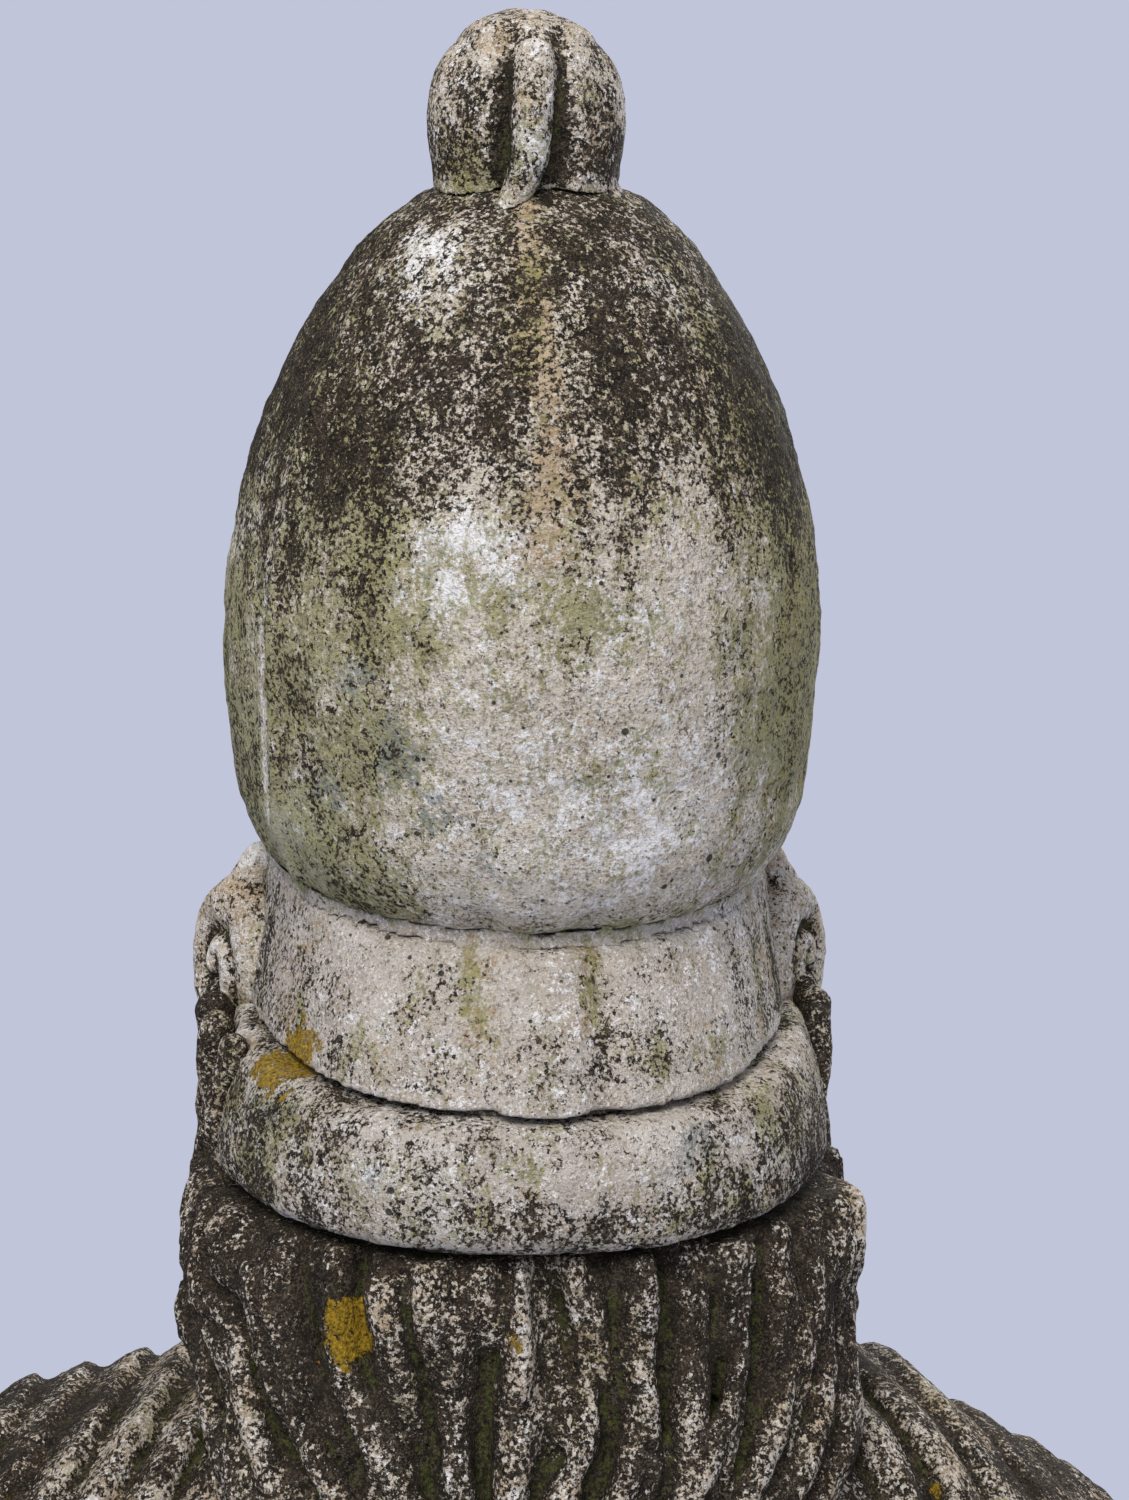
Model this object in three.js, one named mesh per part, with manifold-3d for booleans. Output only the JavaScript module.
// A helmeted classical garden bust in cast stone, a little over life size, on a turned socle
// and a square plinth.
//
// It is a sectional casting. Eleven stone pieces are stacked on thin mortar beds and pinned with stainless
// dowels, and one threaded rod ties the bust down through its socle. Nothing moves.
//
// Millimetres, +Z up. The face looks along -Y. The origin is the middle of the plinth's underside.

import * as THREE from "three";
import { mergeVertices } from "three/addons/utils/BufferGeometryUtils.js";
import Module from "manifold-3d";

const wasm = await Module();
wasm.setup();

// ---------------------------------------------------------------- driving dimensions

const GAP = 0.4; // air between two pieces that meet

const PLINTH_SIDE = 236;
const PLINTH_HEIGHT = 40;
const BED = 3; // thickness of a mortar bed
const SOCLE_FOOT = PLINTH_HEIGHT + BED;
const SOCLE_HEIGHT = 132;
const SOCLE_TOP = SOCLE_FOOT + SOCLE_HEIGHT;
const BUST_FOOT = SOCLE_TOP + BED;

const NECK_Y = 12; // the neck stands behind the middle of the plinth
const SOCKET_FLOOR = 364; // floor of the neck socket in the shoulders
const NECKLINE = 432; // top of the shoulder casting behind the neck
const COLLAR_Z = 408; // its rim on the neck's own line, which dips in front
const COLLAR_TILT = THREE.MathUtils.degToRad(-16);

const CREASE_Z = 622.5; // bed plane under the helmet, on the neck's centreline
const HELMET_Y = 15;
const HELMET_TILT = THREE.MathUtils.degToRad(16.5); // the helmet is pushed back on the head
const GUARD_Z = 566; // lower edge of the neck guard, on the centreline
const GUARD_TILT = THREE.MathUtils.degToRad(13);
const RIM_Z = 512; // lower edge of the rim band, on the centreline
const RIM_TILT = THREE.MathUtils.degToRad(8);
const DOME_TOP = 238; // height of the helmet's crown above its bed plane
const CREST_SCALE = 0.8; // the crest is modelled 66 mm tall, then reduced about the crown

const STACK_PIN_RADIUS = 5; // two long pins through dome, neck guard and rim band
const STACK_PIN_X = 60;
const STACK_PIN_Y = 84;
const HEAD_DOWEL_RADIUS = 8;
const CREST_PIN_RADIUS = 5;
const TIE_ROD_RADIUS = 6; // M12 rod that holds the bust down on the socle
const PLINTH_PIN_X = 62;
const SCROLL_X = 97;
const SCROLL_Y = -6;
const SCROLL_Z = 566;

// ---------------------------------------------------------------- materials

function stone(colour) {
  return new THREE.MeshStandardMaterial({ color: colour, roughness: 0.95, metalness: 0 });
}

const MATERIALS = {
  paleStone: stone(0xb9b2a4),
  darkStone: stone(0x7d7464),
  mortar: stone(0x8f897c),
  steel: new THREE.MeshStandardMaterial({ color: 0xa8a8a4, roughness: 0.35, metalness: 1 }),
  lead: new THREE.MeshStandardMaterial({ color: 0x5d6065, roughness: 0.6, metalness: 1 }),
};

// ---------------------------------------------------------------- shape helpers

// A point of a rounded oval: half-width a, depth f in front (-Y) and b behind (+Y), squareness n.
function ovalPoint(angle, { a, f, b, n = 2, y = 0 }) {
  const c = Math.cos(angle);
  const s = Math.sin(angle);
  const depth = s > 0 ? b : f;
  return [
    a * Math.sign(c) * Math.abs(c) ** (2 / n),
    y + depth * Math.sign(s) * Math.abs(s) ** (2 / n),
  ];
}

// A closed skin over ovals at rising heights. Between the stations the ovals follow smooth curves.
// ridges(angle, z) adds to the radius, and grow offsets the skin outwards.
function loft(stations, { around = 48, rows = 24, grow = 0, ridges = () => 0 } = {}) {
  const keys = ["z", "a", "f", "b", "n", "y"];
  const full = stations.map((s) => ({ n: 2, y: 0, ...s }));
  const curves = keys.map((key) => {
    const points = full.map((s, i) => new THREE.Vector3(i, s[key], 0));
    return new THREE.CatmullRomCurve3(points, false, "catmullrom", 0.5);
  });
  const positions = [];
  const index = [];
  const low = full[0].z;
  const high = full[full.length - 1].z;
  for (let row = 0; row <= rows; row++) {
    const at = Object.fromEntries(keys.map((key, k) => [key, curves[k].getPoint(row / rows).y]));
    const share = (at.z - low) / (high - low);
    const z = at.z + grow * (2 * share - 1);
    const grown = { ...at, a: at.a + grow, f: at.f + grow, b: at.b + grow };
    for (let i = 0; i < around; i++) {
      const angle = (2 * Math.PI * i) / around;
      const [x, y] = ovalPoint(angle, grown);
      const swell = 1 + ridges(angle, z) / Math.max(20, Math.hypot(x, y - at.y));
      positions.push(x * swell, at.y + (y - at.y) * swell, z);
    }
  }
  for (let row = 0; row < rows; row++) {
    for (let i = 0; i < around; i++) {
      const next = (i + 1) % around;
      const a = row * around + i;
      const b = row * around + next;
      index.push(a, b, b + around, a, b + around, a + around);
    }
  }
  for (const [row, flip] of [[0, true], [rows, false]]) {
    const centre = positions.length / 3;
    const first = row * around;
    const z = positions[3 * first + 2];
    positions.push(0, full[row ? full.length - 1 : 0].y, z);
    for (let i = 0; i < around; i++) {
      const pair = [first + i, first + ((i + 1) % around)];
      index.push(centre, ...(flip ? pair.reverse() : pair));
    }
  }
  const made = new THREE.BufferGeometry();
  made.setAttribute("position", new THREE.Float32BufferAttribute(positions, 3));
  made.setIndex(index);
  return made;
}

// A turned shape about Z from a closed outline of [radius, height] points.
function turned(outline, segments = 32) {
  const points = [...outline, outline[0]].map(([r, z]) => new THREE.Vector2(r, z));
  return new THREE.LatheGeometry(points, segments).rotateX(Math.PI / 2);
}

function rod(radius, low, high, segments = 12) {
  const length = high - low;
  return new THREE.CylinderGeometry(radius, radius, length, segments)
    .rotateX(Math.PI / 2)
    .translate(0, 0, low + length / 2);
}

function ellipsoid(x, y, z, rx, ry, rz, segments = 20) {
  const rows = Math.round(segments * 0.7);
  return new THREE.SphereGeometry(1, segments, rows).scale(rx, ry, rz).translate(x, y, z);
}

function meshOf(name, geometry, material) {
  const made = new THREE.Mesh(geometry, material);
  made.name = name;
  return made;
}

// ---------------------------------------------------------------- joining and cutting

// The mesh, or bare geometry, as a solid in the part's frame.
function solid(shape) {
  const isMesh = Boolean(shape.isMesh);
  const geometry = (isMesh ? shape.geometry : shape).clone();
  geometry.deleteAttribute("normal");
  geometry.deleteAttribute("uv");
  if (isMesh) {
    shape.updateWorldMatrix(true, false);
    geometry.applyMatrix4(shape.matrixWorld);
  }
  const merged = mergeVertices(geometry, 1e-3);
  return new wasm.Manifold(
    new wasm.Mesh({
      numProp: 3,
      vertProperties: merged.attributes.position.array,
      triVerts: new Uint32Array(merged.index.array),
    }),
  );
}

function geometryOf(manifold, mesh) {
  const { numProp, vertProperties, triVerts } = manifold.getMesh();
  const positions = new Float32Array((vertProperties.length / numProp) * 3);
  for (let i = 0; i < positions.length / 3; i++) {
    positions.set(vertProperties.subarray(i * numProp, i * numProp + 3), i * 3);
  }
  const made = new THREE.BufferGeometry();
  made.setAttribute("position", new THREE.BufferAttribute(positions, 3));
  made.setIndex(new THREE.BufferAttribute(triVerts, 1));
  if (mesh) {
    mesh.updateWorldMatrix(true, false);
    made.applyMatrix4(mesh.matrixWorld.clone().invert());
  }
  return made;
}

// Joins shapes in one local frame into a geometry.
function joined(...shapes) {
  return geometryOf(shapes.map(solid).reduce((a, b) => a.add(b)));
}

// Keeps the largest body, so that a cut leaves no crumbs.
function largest(manifold) {
  return manifold.decompose().reduce((a, b) => (a.volume() >= b.volume() ? a : b));
}

function carve(mesh, ...tools) {
  const cut = tools.reduce((left, tool) => left.subtract(solid(tool)), solid(mesh));
  mesh.geometry = geometryOf(largest(cut), mesh);
}

function keepInside(mesh, ...tools) {
  const kept = tools.reduce((left, tool) => left.intersect(solid(tool)), solid(mesh));
  mesh.geometry = geometryOf(largest(kept), mesh);
}

// A block filling everything above or below a plane through (0, y, z) that leans back by tilt.
function halfSpace(z, tilt, side, y = HELMET_Y) {
  const SIZE = 900;
  return new THREE.BoxGeometry(SIZE, SIZE, SIZE)
    .translate(0, 0, (side * SIZE) / 2)
    .rotateX(-tilt)
    .translate(0, y, z);
}

// ---------------------------------------------------------------- scene graph

const bust = new THREE.Group();
const base = new THREE.Group();
const figure = new THREE.Group();
const helmet = new THREE.Group();
helmet.position.set(0, HELMET_Y, CREASE_Z);
helmet.rotation.x = -HELMET_TILT;
bust.add(base, figure, helmet);

function place(group, mesh, x = 0, y = 0, z = 0) {
  mesh.position.set(x, y, z);
  group.add(mesh);
  return mesh;
}

// ---------------------------------------------------------------- plinth and socle

function makePlinth() {
  const CHAMFER = 5;
  const half = PLINTH_SIDE / 2 - CHAMFER;
  const square = new THREE.Shape([
    new THREE.Vector2(-half, -half),
    new THREE.Vector2(half, -half),
    new THREE.Vector2(half, half),
    new THREE.Vector2(-half, half),
  ]);
  const slab = new THREE.ExtrudeGeometry(square, {
    depth: PLINTH_HEIGHT - 2 * CHAMFER,
    bevelThickness: CHAMFER,
    bevelSize: CHAMFER,
    bevelSegments: 2,
  }).translate(0, 0, CHAMFER);
  return place(base, meshOf("plinth_slab", slab, MATERIALS.paleStone));
}

const SOCLE_RECESS = 27; // radius of the nut's recess in the socle's foot
const SOCLE_RECESS_DEPTH = 42;
const SOCLE_BORE = TIE_ROD_RADIUS + 2;

// Foot torus, fillet, scotia, neck, cavetto and top roll, turned round a bore that widens to a nut recess.
function makeSocle() {
  const outline = [
    [SOCLE_RECESS, 0],
    [104, 0],
    [110, 7],
    [111, 15],
    [107, 24],
    [98, 30],
    [97, 35],
    [86, 41],
    [70, 54],
    [60, 72],
    [56, 90],
    [58, 104],
    [66, 112],
    [76, 116],
    [81, 121],
    [80, 128],
    [75, SOCLE_HEIGHT],
    [SOCLE_BORE, SOCLE_HEIGHT],
    [SOCLE_BORE, SOCLE_RECESS_DEPTH],
    [SOCLE_RECESS, SOCLE_RECESS_DEPTH],
  ];
  const made = meshOf("socle", turned(outline, 32), MATERIALS.paleStone);
  return place(base, made, 0, 0, SOCLE_FOOT);
}

function ringBed(name, outer, inner, low, thickness) {
  const outline = [[inner, GAP], [outer, GAP], [outer, thickness - GAP], [inner, thickness - GAP]];
  return place(base, meshOf(name, turned(outline, 24), MATERIALS.mortar), 0, 0, low);
}

// Lead packers that set the height of the bust's bed while the mortar was soft.
function makeShims() {
  const RADIUS = 44;
  return [0, 1, 2].map((i) => {
    const angle = Math.PI / 2 + (i * 2 * Math.PI) / 3;
    const plate = new THREE.BoxGeometry(20, 12, BED - 2 * GAP).translate(0, 0, BED / 2);
    const shim = meshOf(`lead_shim_${i + 1}`, plate, MATERIALS.lead);
    shim.rotation.z = angle;
    return place(base, shim, RADIUS * Math.cos(angle), RADIUS * Math.sin(angle), SOCLE_TOP);
  });
}

function shimPocket(shim) {
  const tool = meshOf("pocket", new THREE.BoxGeometry(21, 13, 20), MATERIALS.lead);
  tool.position.copy(shim.position);
  tool.rotation.copy(shim.rotation);
  return tool;
}

function plinthPins() {
  return [["left", 1], ["right", -1]].map(([side, sign]) => {
    const pin = meshOf(`plinth_pin_${side}`, rod(6, -28, 34), MATERIALS.steel);
    return place(base, pin, sign * PLINTH_PIN_X, 0, SOCLE_FOOT);
  });
}

function tieRodParts() {
  const nutTop = SOCLE_FOOT + SOCLE_RECESS_DEPTH - GAP - 4;
  const shaft = meshOf("tie_rod", rod(TIE_ROD_RADIUS, 0, 196, 20), MATERIALS.steel);
  place(base, shaft, 0, 0, nutTop - 18);

  const hole = TIE_ROD_RADIUS + GAP;
  const washer = turned([[hole, 0], [21, 0], [21, 3.6], [hole, 3.6]], 20);
  place(base, meshOf("tie_washer", washer, MATERIALS.steel), 0, 0, nutTop + 0.2);

  const hexagon = new THREE.Shape();
  for (let i = 0; i <= 6; i++) {
    const angle = (i * Math.PI) / 3;
    hexagon[i ? "lineTo" : "moveTo"](10.4 * Math.cos(angle), 10.4 * Math.sin(angle));
  }
  hexagon.holes.push(new THREE.Path().absarc(0, 0, hole, 0, 2 * Math.PI, true));
  const nut = new THREE.ExtrudeGeometry(hexagon, { depth: 10, bevelEnabled: false, curveSegments: 10 });
  place(base, meshOf("tie_nut", nut, MATERIALS.steel), 0, 0, nutTop - 10 - GAP);
  return shaft;
}

// ---------------------------------------------------------------- shoulders

const TORSO_STATIONS = [
  { z: BUST_FOOT, a: 64, f: 58, b: 56 },
  { z: 190, a: 72, f: 66, b: 60 },
  { z: 206, a: 98, f: 84, b: 68, n: 2.2 },
  { z: 226, a: 160, f: 106, b: 80, n: 2.6 },
  { z: 250, a: 222, f: 122, b: 90, n: 2.9 },
  { z: 286, a: 250, f: 130, b: 99, n: 3 },
  { z: 326, a: 258, f: 124, b: 106, n: 3 },
  { z: 358, a: 250, f: 110, b: 110, n: 2.8 },
  { z: 382, a: 230, f: 94, b: 108, n: 2.5 },
  { z: 402, a: 194, f: 80, b: 102, n: 2.3 },
  { z: 417, a: 150, f: 72, b: 96, n: 2.2 },
  { z: NECKLINE, a: 96, f: 66, b: 90 },
];

const TORSO_MESH = { around: 52, rows: 16 };

const TORSO_PLEATS = (angle, z) => (z > 205 && z < 405 ? 2.2 * Math.sin(13 * angle) : 0);

function makeTorso() {
  const body = loft(TORSO_STATIONS, { ...TORSO_MESH, ridges: TORSO_PLEATS });
  return place(figure, meshOf("shoulders", body, MATERIALS.darkStone));
}

const TENON_TOP = 414;
const TENON = [[44, SOCKET_FLOOR + 4], [56, TENON_TOP]]; // [radius, height] of the tenon's foot and top

function makeNeckBed() {
  const [[footRadius, foot], [topRadius, top]] = TENON;
  const outline = [
    [HEAD_DOWEL_RADIUS + 1, SOCKET_FLOOR + GAP],
    [footRadius + 4 - 2 * GAP, SOCKET_FLOOR + GAP],
    [topRadius + 4 - 2 * GAP, top - 1],
    [topRadius + 3 * GAP, top - 1],
    [footRadius + 3 * GAP, foot - GAP],
    [HEAD_DOWEL_RADIUS + 1, foot - GAP],
  ];
  return place(figure, meshOf("neck_bed", turned(outline, 24), MATERIALS.mortar), 0, NECK_Y, 0);
}

function neckSocket() {
  const [[footRadius], [topRadius, top]] = TENON;
  const flare = (topRadius - footRadius) / (top - SOCKET_FLOOR);
  const mouth = NECKLINE + 20;
  const outline = [
    [0, SOCKET_FLOOR],
    [footRadius + 4, SOCKET_FLOOR],
    [topRadius + 4 + flare * (mouth - top), mouth],
    [0, mouth],
  ];
  const points = outline.map(([r, z]) => new THREE.Vector2(r, z));
  return new THREE.LatheGeometry(points, 24).rotateX(Math.PI / 2).translate(0, NECK_Y, 0);
}

// ---------------------------------------------------------------- head

const SKULL_STATIONS = [
  { z: 455, a: 17, f: 13, b: 17, y: -80 },
  { z: 459, a: 30, f: 22, b: 34, y: -76 },
  { z: 472, a: 44, f: 40, b: 68, y: -60, n: 1.9 },
  { z: 496, a: 60, f: 66, b: 90, y: -36, n: 1.9 },
  { z: 524, a: 70, f: 92, b: 96, y: -10, n: 1.9 },
  { z: 552, a: 76, f: 98, b: 97, y: -4 },
  { z: 580, a: 78, f: 96, b: 97, y: -2 },
  { z: 596, a: 79, f: 104, b: 97, y: -2, n: 2.1 },
  { z: 640, a: 79, f: 98, b: 95 },
  { z: 680, a: 72, f: 84, b: 86 },
  { z: 705, a: 56, f: 66, b: 70 },
];

// The waved hair that shows between the brow and the helmet, parted over the middle of the forehead.
const FRINGE_STATIONS = [
  { z: 586, a: 84, f: 76, b: 14, y: -6 },
  { z: 604, a: 90, f: 98, b: 14, y: -6 },
  { z: 630, a: 92, f: 105, b: 14, y: -6 },
  { z: 668, a: 88, f: 98, b: 14, y: -6 },
];

const NECK_STATIONS = [
  { z: TENON[0][1], a: TENON[0][0], f: TENON[0][0], b: TENON[0][0] },
  { z: TENON[1][1], a: TENON[1][0], f: TENON[1][0], b: TENON[1][0] },
  { z: 440, a: 58, f: 58, b: 60 },
  { z: 476, a: 58, f: 54, b: 68 },
  { z: 520, a: 62, f: 50, b: 78 },
  { z: 560, a: 60, f: 40, b: 80 },
];

function parting() {
  const wedge = new THREE.Shape([
    new THREE.Vector2(-84, 560),
    new THREE.Vector2(84, 560),
    new THREE.Vector2(62, 600),
    new THREE.Vector2(0, 646),
    new THREE.Vector2(-62, 600),
  ]);
  const depth = 200;
  return new THREE.ExtrudeGeometry(wedge, { depth, bevelEnabled: false }).rotateX(Math.PI / 2);
}

function headShape(grow = 0) {
  const neck = loft(NECK_STATIONS, { around: 28, rows: 8, grow }).translate(0, NECK_Y, 0);
  const skull = loft(SKULL_STATIONS, { around: 32, rows: 16, grow });
  const bridge = ellipsoid(0, -98, 566, 9 + grow, 16 + grow, 34 + grow, 10);
  const noseTip = ellipsoid(0, -112, 545, 12 + grow, 20 + grow, 12 + grow, 10);
  const lips = ellipsoid(0, -96, 514, 23 + grow, 14 + grow, 11 + grow, 12);
  const chin = ellipsoid(0, -82, 474, 22 + grow, 18 + grow, 18 + grow, 12);
  return [neck, skull, bridge, noseTip, lips, chin];
}

function fringe(grow = 0) {
  const curls = (angle) => 2 * Math.sin(14 * angle);
  const band = loft(FRINGE_STATIONS, { around: 40, rows: 5, grow, ridges: curls });
  return geometryOf(solid(band).subtract(solid(parting())));
}

function makeHead() {
  return place(figure, meshOf("head", joined(...headShape(), fringe()), MATERIALS.darkStone));
}

// ---------------------------------------------------------------- hair

const HAIR_STATIONS = [
  { z: 296, a: 20, f: 14, b: 12, y: 114 },
  { z: 316, a: 42, f: 26, b: 18, y: 114 },
  { z: 345, a: 63, f: 40, b: 26, y: 110 },
  { z: 375, a: 84, f: 62, b: 38, y: 100 },
  { z: 400, a: 105, f: 84, b: 62, y: 76 },
  { z: 430, a: 117, f: 86, b: 90, y: 46, n: 2.2 },
  { z: 480, a: 118, f: 82, b: 100, y: 32, n: 2.3 },
  { z: 530, a: 114, f: 80, b: 98, y: 26, n: 2.2 },
  { z: 580, a: 107, f: 80, b: 94, y: 18, n: 2.1 },
  { z: 640, a: 91, f: 78, b: 84, y: 12 },
];

const HAIR_WAVES = (angle, z) => 2 * Math.sin(11 * angle) * Math.cos(0.05 * z);

function makeHair() {
  const mass = loft(HAIR_STATIONS, { around: 44, rows: 14, ridges: HAIR_WAVES });
  return place(figure, meshOf("hair_fall", mass, MATERIALS.darkStone));
}

// ---------------------------------------------------------------- neck guard, rim band and scrolls

// The collar wraps the back of the head. It is cut off in front along a slanting plane at the ears.
const COLLAR_CORE = { around: 32, rows: 5 };

const GUARD_STATIONS = [
  { z: 500, a: 105, f: 100, b: 140, y: 4, n: 2.1 },
  { z: 540, a: 102, f: 98, b: 128, y: 4, n: 2.1 },
  { z: 580, a: 99, f: 96, b: 118, y: 4, n: 2.1 },
  { z: 640, a: 98, f: 94, b: 108, y: 4, n: 2.1 },
];

const RIM_STATIONS = [
  { z: 470, a: 106, f: 100, b: 120, y: 8, n: 2.2 },
  { z: 492, a: 111, f: 100, b: 132, y: 8, n: 2.2 },
  { z: 520, a: 113, f: 100, b: 134, y: 8, n: 2.2 },
  { z: 550, a: 107, f: 100, b: 126, y: 8, n: 2.2 },
  { z: 580, a: 100, f: 96, b: 112, y: 8, n: 2.2 },
];

const CORE_STATIONS = [
  { z: 440, a: 84, f: 90, b: 84, y: 10 },
  { z: 560, a: 84, f: 90, b: 88, y: 10 },
  { z: 680, a: 84, f: 90, b: 90, y: 10 },
];

const COLLAR_FRONT = 2; // the collar pieces start just behind the ears

// Everything in front of the ears, as a block with its back face at the given y.
function inFrontOf(y) {
  const SIZE = 1600;
  return new THREE.BoxGeometry(SIZE, SIZE, SIZE).translate(0, y - SIZE / 2, GUARD_Z);
}

function makeGuard() {
  const made = meshOf("neck_guard", loft(GUARD_STATIONS, COLLAR_CORE), MATERIALS.paleStone);
  return place(figure, made);
}

function makeRim() {
  const made = meshOf("rim_band", loft(RIM_STATIONS, COLLAR_CORE), MATERIALS.paleStone);
  return place(figure, made);
}

// A ram's-horn scroll: a disc that tapers outwards, with its curled tip standing proud and
// a short lobe below.
function makeScroll(side, sign) {
  const disc = turned([[0, -22], [25, -22], [25, 12], [19, 24], [8, 29], [0, 29]], 20);
  const lobe = ellipsoid(-30, -2, 4, 22, 14, 20, 10);
  const scroll = meshOf(`horn_scroll_${side}`, joined(disc, lobe), MATERIALS.darkStone);
  scroll.rotation.y = (sign * Math.PI) / 2;
  if (sign < 0) scroll.rotation.z = Math.PI;
  return place(figure, scroll, sign * SCROLL_X, SCROLL_Y, SCROLL_Z);
}

// ---------------------------------------------------------------- helmet

const DOME_STATIONS = [
  { z: 0, a: 94, f: 100, b: 106 },
  { z: 14, a: 100, f: 105, b: 115 },
  { z: 46, a: 105, f: 108, b: 121 },
  { z: 92, a: 106, f: 106, b: 121 },
  { z: 136, a: 98.5, f: 99, b: 112 },
  { z: 174, a: 84, f: 86, b: 95 },
  { z: 202, a: 67, f: 69, b: 75 },
  { z: 225, a: 46, f: 46, b: 50 },
  { z: DOME_TOP, a: 15, f: 15, b: 15 },
];

// The face mask of the pushed-back helmet juts over the forehead like the prow of a boat.
const VISOR_STATIONS = [
  { z: -6, a: 84, f: 142, b: 40, n: 1.5 },
  { z: 8, a: 90, f: 146, b: 40, n: 1.6 },
  { z: 36, a: 91, f: 138, b: 40, n: 1.7 },
  { z: 70, a: 88, f: 122, b: 40, n: 1.8 },
  { z: 110, a: 74, f: 98, b: 40 },
];

function domeShape(grow = 0) {
  return [
    loft(DOME_STATIONS, { around: 32, rows: 14, grow }),
    loft(VISOR_STATIONS, { around: 28, rows: 6, grow }),
  ];
}

function makeDome() {
  const eyes = [-1, 1].map((side) => ellipsoid(side * 36, -122, 50, 22, 20, 17, 12));
  const body = eyes.reduce((left, eye) => left.subtract(solid(eye)), solid(joined(...domeShape())));
  const underside = new THREE.BoxGeometry(400, 400, 40).translate(0, 0, -20);
  const flat = body.subtract(solid(underside));
  return place(helmet, meshOf("helmet_dome", geometryOf(flat), MATERIALS.paleStone));
}

const CREST_FOOT = 21; // radius of the crest's bed
const CREST_FOOT_HEIGHT = 60; // before the crown's own shape trims it to the bed

// The blocky haunches of the crouching lion, with a tail laid up between them.
const HAUNCH_STATIONS = [
  { z: 218, a: 37, f: 30, b: 36, n: 2.6 },
  { z: 248, a: 36, f: 30, b: 37, n: 2.6 },
  { z: 274, a: 32, f: 28, b: 34, n: 2.5 },
  { z: 294, a: 24, f: 22, b: 25, n: 2.3 },
  { z: 304, a: 9, f: 9, b: 9 },
];

function crestShape() {
  const haunches = loft(HAUNCH_STATIONS, { around: 24, rows: 7 }).translate(0, 12, 0);
  const body = ellipsoid(0, -8, 264, 27, 40, 30, 12);
  const mane = ellipsoid(0, -34, 268, 24, 22, 30, 12);
  const muzzle = ellipsoid(0, -56, 268, 12, 14, 11, 10);
  const tail = ellipsoid(0, 46, 264, 7, 8, 32, 10);
  const pairs = [-1, 1].flatMap((side) => [
    ellipsoid(side * 26, 38, 232, 9, 12, 14, 10),
    ellipsoid(side * 17, -46, 224, 9, 17, 22, 10),
  ]);
  return [haunches, body, mane, muzzle, tail, ...pairs];
}

function makeCrest() {
  const crest = meshOf("crest_lion", joined(...crestShape()), MATERIALS.paleStone);
  crest.scale.setScalar(CREST_SCALE);
  return place(helmet, crest, 0, 0, DOME_TOP * (1 - CREST_SCALE));
}

// ---------------------------------------------------------------- beds and pins of the head

function makeDomeBed() {
  const bed = loft(
    [
      { z: -2.6, a: 93, f: 84, b: 102 },
      { z: -GAP, a: 93, f: 84, b: 102 },
    ],
    { around: 32, rows: 1 },
  );
  return place(helmet, meshOf("dome_bed", bed, MATERIALS.mortar));
}

function collarBed(name, z, tilt, shape) {
  const made = meshOf(name, loft(shape, COLLAR_CORE), MATERIALS.mortar);
  place(figure, made);
  keepInside(made, halfSpace(z - GAP, tilt, -1), halfSpace(z - 2.6, tilt, 1));
  return made;
}

const GUARD_BED_STATIONS = GUARD_STATIONS.map((s) => ({ ...s, a: s.a - 7, b: s.b - 7 }));
const RIM_BED_STATIONS = RIM_STATIONS.map((s) => ({ ...s, a: s.a - 9, b: s.b - 9 }));

function makeStackPins() {
  return [["left", 1], ["right", -1]].map(([side, sign]) => {
    const pin = meshOf(`stack_pin_${side}`, rod(STACK_PIN_RADIUS, 455, 640), MATERIALS.steel);
    return place(figure, pin, sign * STACK_PIN_X, STACK_PIN_Y, 0);
  });
}

function makeHeadDowel() {
  const dowel = meshOf("head_dowel", rod(HEAD_DOWEL_RADIUS, 560, 700), MATERIALS.steel);
  return place(figure, dowel, 0, 20, 0);
}

function makeNeckDowel() {
  const dowel = meshOf("neck_dowel", rod(HEAD_DOWEL_RADIUS, 300, 440), MATERIALS.steel);
  return place(figure, dowel, 0, NECK_Y, 0);
}

function makeCrestPin() {
  const pin = meshOf("crest_pin", rod(CREST_PIN_RADIUS, DOME_TOP - 40, DOME_TOP + 26), MATERIALS.steel);
  return place(helmet, pin);
}

function makeScrollPins() {
  return [["left", 1], ["right", -1]].map(([side, sign]) => {
    const pin = meshOf(`scroll_pin_${side}`, rod(4, -36, 6, 12), MATERIALS.steel);
    pin.rotation.y = (sign * Math.PI) / 2;
    return place(figure, pin, sign * SCROLL_X, SCROLL_Y, SCROLL_Z);
  });
}

// The hole for a pin: the pin's own shape, a little fatter and longer, in the part's frame.
function holeFor(pin, grow = GAP) {
  const { min, max } = new THREE.Box3().setFromBufferAttribute(pin.geometry.attributes.position);
  const middle = (min.z + max.z) / 2;
  const widen = 1 + (2 * grow) / (max.x - min.x);
  const lengthen = 1 + (2 * grow) / (max.z - min.z);
  pin.updateWorldMatrix(true, false);
  return pin.geometry
    .clone()
    .translate(0, 0, -middle)
    .scale(widen, widen, lengthen)
    .translate(0, 0, middle)
    .applyMatrix4(pin.matrixWorld);
}

function inHelmetFrame(geometry) {
  helmet.updateWorldMatrix(true, false);
  return geometry.clone().applyMatrix4(helmet.matrixWorld);
}

// ---------------------------------------------------------------- assembly

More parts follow.
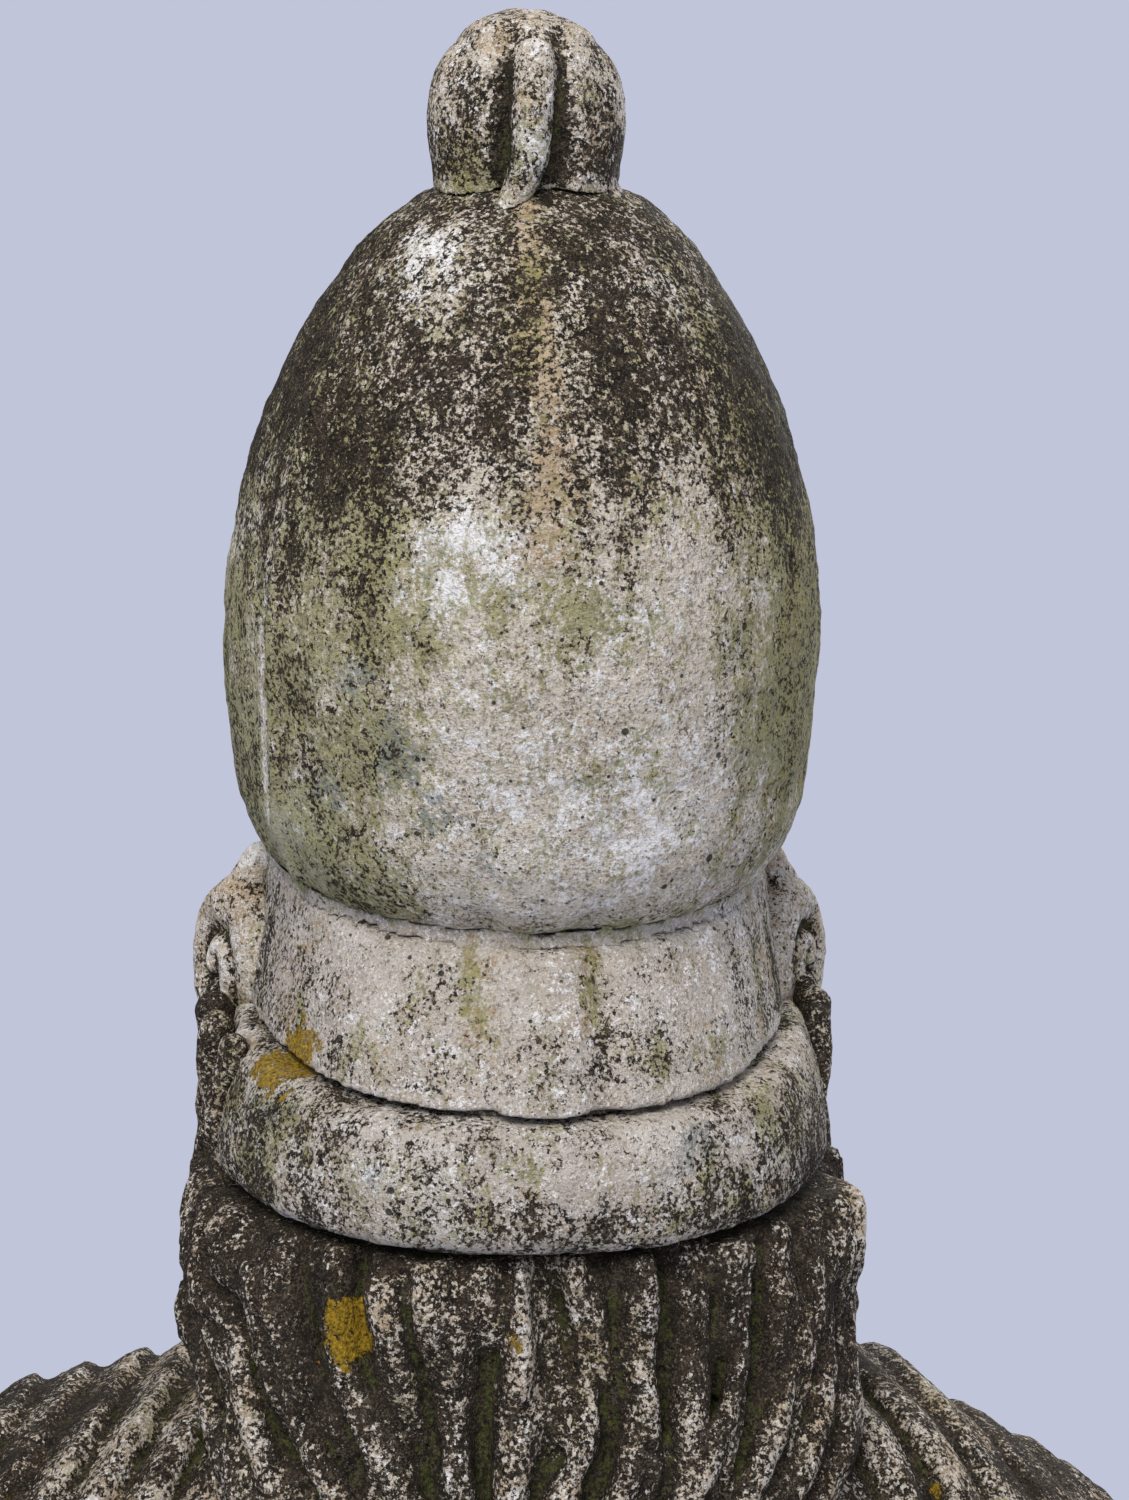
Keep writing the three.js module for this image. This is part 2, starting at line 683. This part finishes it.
const plinth = makePlinth();
const socle = makeSocle();
const plinthBed = ringBed("plinth_bed", 94, SOCLE_RECESS + 1, PLINTH_HEIGHT, BED);
const socleBed = ringBed("socle_bed", 64, SOCLE_BORE + 1, SOCLE_TOP, BED);
const shims = makeShims();
const pins = plinthPins();
const tieRod = tieRodParts();
const torso = makeTorso();
const neckBed = makeNeckBed();
const head = makeHead();
const hair = makeHair();
const guard = makeGuard();
const rim = makeRim();
const scrolls = [makeScroll("left", 1), makeScroll("right", -1)];
const dome = makeDome();
const crest = makeCrest();
const stackPins = makeStackPins();
const headDowel = makeHeadDowel();
const neckDowel = makeNeckDowel();
const crestPin = makeCrestPin();
const scrollPins = makeScrollPins();

for (const piece of [plinth, plinthBed, socle]) carve(piece, ...pins.map((pin) => holeFor(pin)));
carve(socleBed, ...shims.map(shimPocket));

// Shoulders: neck socket, dowel hole and the tie rod's hole.
const aboveCollar = halfSpace(COLLAR_Z, COLLAR_TILT, 1, NECK_Y);
carve(torso, aboveCollar, neckSocket(), holeFor(neckDowel), holeFor(tieRod));
carve(neckBed, aboveCollar);

// Head: trimmed under the helmet's bed.
const belowDome = halfSpace(CREASE_Z - BED, HELMET_TILT, 1);
carve(head, belowDome, holeFor(neckDowel), holeFor(headDowel));
const torsoRoom = loft(TORSO_STATIONS, { ...TORSO_MESH, grow: 3 });
const socketRoom = neckSocket();
const headKept = solid(head).subtract(solid(torsoRoom).subtract(solid(socketRoom)));
head.geometry = geometryOf(largest(headKept), head);

// Neck guard and rim band: C-shaped slices between the leaning planes.
const core = loft(CORE_STATIONS, { around: 32, rows: 2 });
keepInside(guard, halfSpace(CREASE_Z - BED, HELMET_TILT, -1), halfSpace(GUARD_Z, GUARD_TILT, 1));
carve(guard, core, inFrontOf(COLLAR_FRONT), ...stackPins.map((pin) => holeFor(pin)));
keepInside(rim, halfSpace(GUARD_Z - BED, GUARD_TILT, -1), halfSpace(RIM_Z, RIM_TILT, 1));
carve(rim, core, inFrontOf(COLLAR_FRONT), ...stackPins.map((pin) => holeFor(pin)));

const guardBed = collarBed("guard_bed", GUARD_Z, GUARD_TILT, GUARD_BED_STATIONS);
carve(guardBed, core, inFrontOf(COLLAR_FRONT + 2), ...stackPins.map((pin) => holeFor(pin)));
const rimBed = collarBed("rim_bed", RIM_Z, RIM_TILT, RIM_BED_STATIONS);
carve(rimBed, core, inFrontOf(COLLAR_FRONT + 2), ...stackPins.map((pin) => holeFor(pin)));

// Hair: wraps the head and neck, rests on the shoulders and carries the rim band.
const headRoom = headShape(2);
const collarRoom = solid(halfSpace(RIM_Z - BED, RIM_TILT, 1)).subtract(solid(inFrontOf(COLLAR_FRONT - 1)));
carve(hair, ...headRoom, fringe(2), torsoRoom, belowDome, ...scrolls.map((s) => holeFor(s, 1)));
const hairLeft = solid(hair).subtract(collarRoom);
hair.geometry = geometryOf(largest(hairLeft), hair);
carve(hair, ...stackPins.map((pin) => holeFor(pin)), ...scrollPins.map((pin) => holeFor(pin)));
for (const piece of [guard, rim]) carve(piece, ...scrolls.map((s) => holeFor(s, 1)));
for (const piece of [guardBed, rimBed]) carve(piece, ...scrolls.map((s) => holeFor(s, 1)));
for (const scroll of scrolls) carve(scroll, ...headRoom, fringe(2), ...scrollPins.map((pin) => holeFor(pin)));
carve(head, ...scrollPins.map((pin) => holeFor(pin)));

// Helmet: the dome sits on its bed, and the crest on a thin curved bed of its own.
const domeBed = makeDomeBed();
carve(domeBed, ...stackPins.map((pin) => holeFor(pin)), holeFor(headDowel));
carve(dome, ...stackPins.map((pin) => holeFor(pin)), holeFor(headDowel), holeFor(crestPin));
const crown = (grow) => domeShape(grow).map(inHelmetFrame);
carve(crest, ...crown(BED), holeFor(crestPin));
const crestFoot = new THREE.CylinderGeometry(CREST_FOOT, CREST_FOOT, CREST_FOOT_HEIGHT, 12);
crestFoot.rotateX(Math.PI / 2).translate(0, 0, DOME_TOP);
const crestBed = place(helmet, meshOf("crest_bed", crestFoot, MATERIALS.mortar));
keepInside(crestBed, crown(BED - GAP)[0]);
carve(crestBed, ...crown(GAP), holeFor(crestPin));

export default bust;
